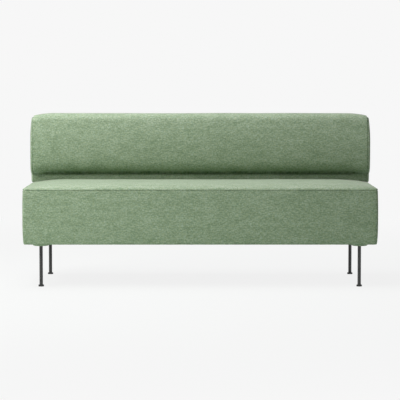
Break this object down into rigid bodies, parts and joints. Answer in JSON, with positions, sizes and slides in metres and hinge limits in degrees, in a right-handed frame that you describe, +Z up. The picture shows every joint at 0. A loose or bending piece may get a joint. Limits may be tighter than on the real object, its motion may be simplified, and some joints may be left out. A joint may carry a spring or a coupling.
{
  "type": "dining sofa",
  "caption": "Upholstered dining sofa with a crowned box seat, a long rolled backrest over a recessed neck, and thin round metal legs on levelling feet.",
  "frame": {"origin": "on the floor, under the middle of the sofa", "axes": "+X along the sofa to the right of someone facing its front, +Y from front to back, +Z up"},
  "size_m": [1.66, 0.65, 0.798],
  "materials": {
    "sage_fabric": "soft matt sage-green weave",
    "black_steel": "satin black powder coat",
    "zinc_steel": "zinc plated",
    "black_nylon": "matt moulded nylon",
    "timber": "planed softwood",
    "hardwood": "planed beech",
    "board": "hardboard",
    "webbing": "woven elastic webbing",
    "foam": "upholstery foam",
    "lining": "black non-woven lining"
  },
  "bodies": {
    "sofa": {"leg_tube_front_left": "black_steel", "leg_plate_front_left": "black_steel", "leg_bush_front_left": "zinc_steel", "leg_block_front_left": "hardwood", "leg_tube_front_right": "black_steel", "leg_plate_front_right": "black_steel", "leg_bush_front_right": "zinc_steel", "leg_block_front_right": "hardwood", "leg_tube_rear_left": "black_steel", "leg_plate_rear_left": "black_steel", "leg_bush_rear_left": "zinc_steel", "leg_block_rear_left": "hardwood", "leg_tube_rear_right": "black_steel", "leg_plate_rear_right": "black_steel", "leg_bush_rear_right": "zinc_steel", "leg_block_rear_right": "hardwood", "plate_covers": "sage_fabric", "leg_screws": "zinc_steel", "front_rail": "timber", "rear_rail": "timber", "side_rail_left": "timber", "side_rail_right": "timber", "cross_rail_left": "timber", "cross_rail_right": "timber", "frame_dowels": "hardwood", "seat_webbing_long": "webbing", "seat_webbing_short": "webbing", "seat_foam": "foam", "seat_border_foam": "foam", "seat_cover_top": "sage_fabric", "seat_cover_front": "sage_fabric", "seat_cover_rear": "sage_fabric", "seat_cover_left": "sage_fabric", "seat_cover_right": "sage_fabric", "seat_lining": "lining", "back_top_rail": "timber", "back_bottom_rail": "timber", "back_upright_left": "timber", "back_upright_centre": "timber", "back_upright_right": "timber", "back_webbing": "webbing", "back_board": "board", "back_foam": "foam", "back_rear_pad": "foam", "back_cover_front": "sage_fabric", "back_cover_neck": "sage_fabric", "back_cover_rear": "sage_fabric", "back_cover_left": "sage_fabric", "back_cover_right": "sage_fabric", "back_brackets": "black_steel", "bracket_bolts": "zinc_steel", "tee_nuts": "zinc_steel"},
    "foot_front_left": {"foot_stud_front_left": "zinc_steel", "foot_base_front_left": "black_nylon"},
    "foot_front_right": {"foot_stud_front_right": "zinc_steel", "foot_base_front_right": "black_nylon"},
    "foot_rear_left": {"foot_stud_rear_left": "zinc_steel", "foot_base_rear_left": "black_nylon"},
    "foot_rear_right": {"foot_stud_rear_right": "zinc_steel", "foot_base_rear_right": "black_nylon"}
  },
  "joints": [
    {"name": "level_front_left", "type": "slide", "parent": "sofa", "child": "foot_front_left", "axis": [0, 0, -1], "range_m": [0, 0.01]},
    {"name": "level_front_right", "type": "slide", "parent": "sofa", "child": "foot_front_right", "axis": [0, 0, -1], "range_m": [0, 0.01]},
    {"name": "level_rear_left", "type": "slide", "parent": "sofa", "child": "foot_rear_left", "axis": [0, 0, -1], "range_m": [0, 0.01]},
    {"name": "level_rear_right", "type": "slide", "parent": "sofa", "child": "foot_rear_right", "axis": [0, 0, -1], "range_m": [0, 0.01]}
  ]
}
